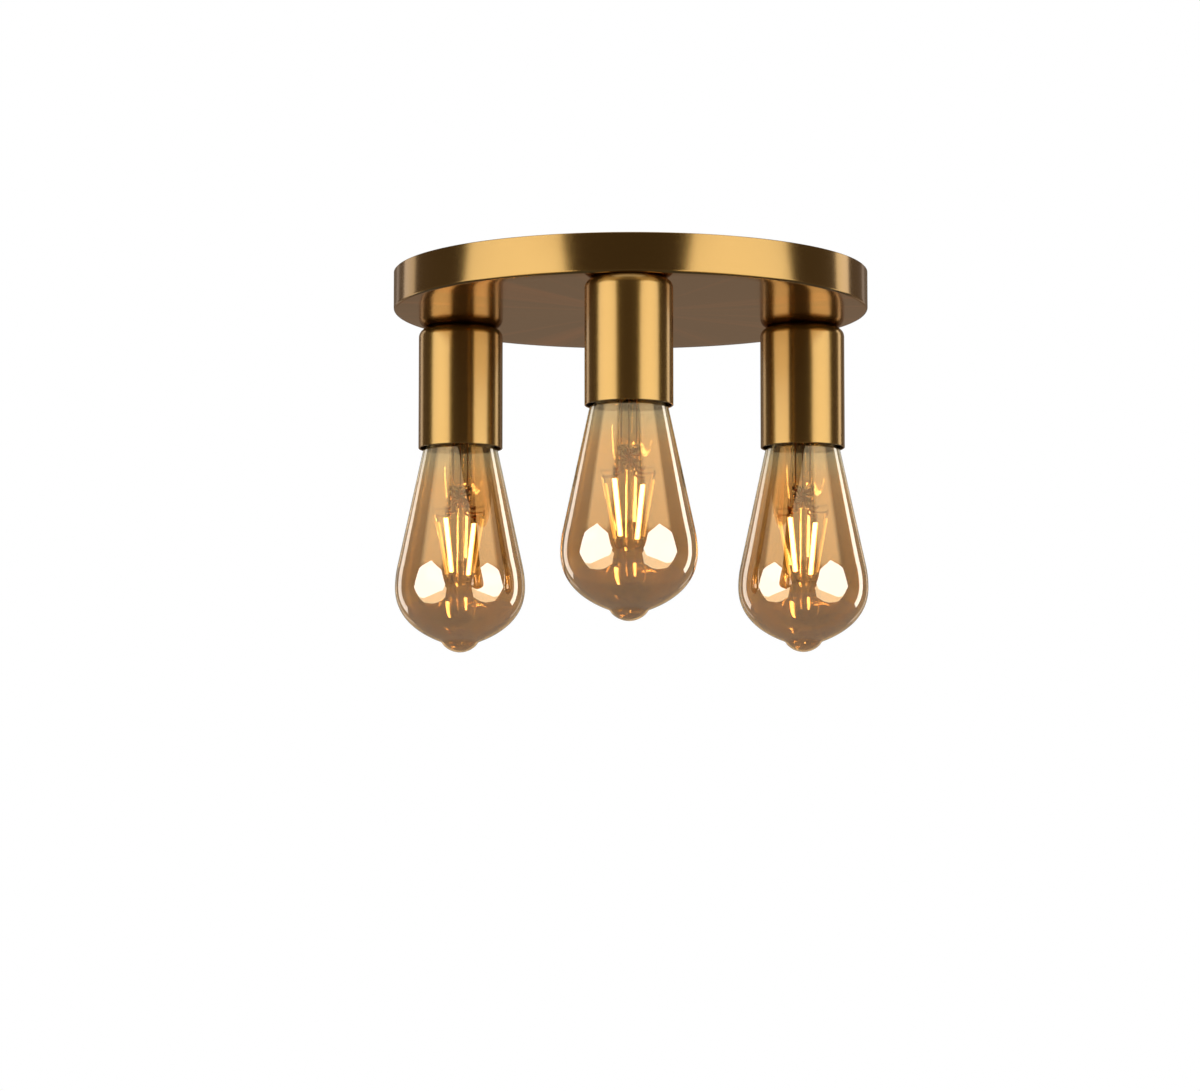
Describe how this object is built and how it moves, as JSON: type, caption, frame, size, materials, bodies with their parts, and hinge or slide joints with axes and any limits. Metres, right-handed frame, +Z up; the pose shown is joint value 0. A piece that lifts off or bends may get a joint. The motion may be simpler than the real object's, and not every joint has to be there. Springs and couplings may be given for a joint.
{
  "type": "ceiling light",
  "caption": "Flush ceiling light: round brass plate with cup lampholders on its rim, each holding a bare teardrop filament bulb that screws out.",
  "frame": {"origin": "middle of the bracket's ceiling slots, in the plane of the ceiling", "axes": "+Z up into the ceiling, -Y towards the front lampholder, +X along the bracket to the right"},
  "size_m": [0.2328, 0.2445, 0.18],
  "materials": {
    "antique_brass": "satin antique brass plate, brushed round the axis and lacquered",
    "zinc_steel": "bright zinc plated steel",
    "yellow_zinc": "yellow passivated steel thread",
    "plain_brass": "rolled bright brass",
    "porcelain": "white glazed porcelain",
    "white_nylon": "moulded white nylon",
    "brown_wire": "brown silicone insulation",
    "blue_wire": "blue silicone insulation",
    "earth_sleeve": "green and yellow insulation",
    "amber_glass": "thin blown glass with an amber tint",
    "clear_glass": "clear drawn glass",
    "nickel_cap": "nickel plated brass sheet",
    "black_glass": "opaque black glass",
    "tin_solder": "dull tin solder",
    "support_wire": "nickel iron wire",
    "filament": "warm coated light-emitting strip"
  },
  "bodies": {
    "fitting": {"ceiling_plate": "antique_brass", "mounting_bracket": "zinc_steel", "lug_nuts": "zinc_steel", "rim_screws": "antique_brass", "threaded_tubes": "yellow_zinc", "tube_nuts": "yellow_zinc", "lock_washers": "zinc_steel", "long_screws": "zinc_steel", "terminal_block": "white_nylon", "terminal_tubes": "plain_brass", "clamp_screws": "zinc_steel", "block_screws": "zinc_steel", "live_wires": "brown_wire", "neutral_wires": "blue_wire", "earth_wire": "earth_sleeve", "earth_screw": "zinc_steel", "front_cup": "antique_brass", "front_porcelain_cap": "porcelain", "front_contact_block": "porcelain", "front_porcelain_barrel": "porcelain", "front_screw_shell": "plain_brass", "front_centre_contact": "plain_brass", "left_cup": "antique_brass", "left_porcelain_cap": "porcelain", "left_contact_block": "porcelain", "left_porcelain_barrel": "porcelain", "left_screw_shell": "plain_brass", "left_centre_contact": "plain_brass", "right_cup": "antique_brass", "right_porcelain_cap": "porcelain", "right_contact_block": "porcelain", "right_porcelain_barrel": "porcelain", "right_screw_shell": "plain_brass", "right_centre_contact": "plain_brass"},
    "front_contact_end": {"front_bulb_insulator": "black_glass", "front_bulb_end_contact": "tin_solder"},
    "front_bulb": {"front_bulb_glass": "amber_glass", "front_bulb_cap": "nickel_cap", "front_bulb_stem": "clear_glass", "front_bulb_wires": "support_wire", "front_bulb_filaments": "filament"},
    "left_contact_end": {"left_bulb_insulator": "black_glass", "left_bulb_end_contact": "tin_solder"},
    "left_bulb": {"left_bulb_glass": "amber_glass", "left_bulb_cap": "nickel_cap", "left_bulb_stem": "clear_glass", "left_bulb_wires": "support_wire", "left_bulb_filaments": "filament"},
    "right_contact_end": {"right_bulb_insulator": "black_glass", "right_bulb_end_contact": "tin_solder"},
    "right_bulb": {"right_bulb_glass": "amber_glass", "right_bulb_cap": "nickel_cap", "right_bulb_stem": "clear_glass", "right_bulb_wires": "support_wire", "right_bulb_filaments": "filament"}
  },
  "joints": [
    {"name": "front_bulb_travel", "type": "slide", "parent": "fitting", "child": "front_contact_end", "axis": [0, 0, -1], "range_m": [0, 0.0182]},
    {"name": "front_bulb_turn", "type": "hinge", "parent": "front_contact_end", "child": "front_bulb", "pos_m": [0, -0.0975, -0.04], "axis": [0, 0, -1], "range_deg": [0, 1800]},
    {"name": "left_bulb_travel", "type": "slide", "parent": "fitting", "child": "left_contact_end", "axis": [0, 0, -1], "range_m": [0, 0.0182]},
    {"name": "left_bulb_turn", "type": "hinge", "parent": "left_contact_end", "child": "left_bulb", "pos_m": [-0.08444, 0.04875, -0.04], "axis": [0, 0, -1], "range_deg": [0, 1800]},
    {"name": "right_bulb_travel", "type": "slide", "parent": "fitting", "child": "right_contact_end", "axis": [0, 0, -1], "range_m": [0, 0.0182]},
    {"name": "right_bulb_turn", "type": "hinge", "parent": "right_contact_end", "child": "right_bulb", "pos_m": [0.08444, 0.04875, -0.04], "axis": [0, 0, -1], "range_deg": [0, 1800]}
  ],
  "couplings": [
    {"joint": "front_bulb_travel", "follows": "front_bulb_turn", "m_per_rad": 0.00057773},
    {"joint": "left_bulb_travel", "follows": "left_bulb_turn", "m_per_rad": 0.00057773},
    {"joint": "right_bulb_travel", "follows": "right_bulb_turn", "m_per_rad": 0.00057773}
  ]
}
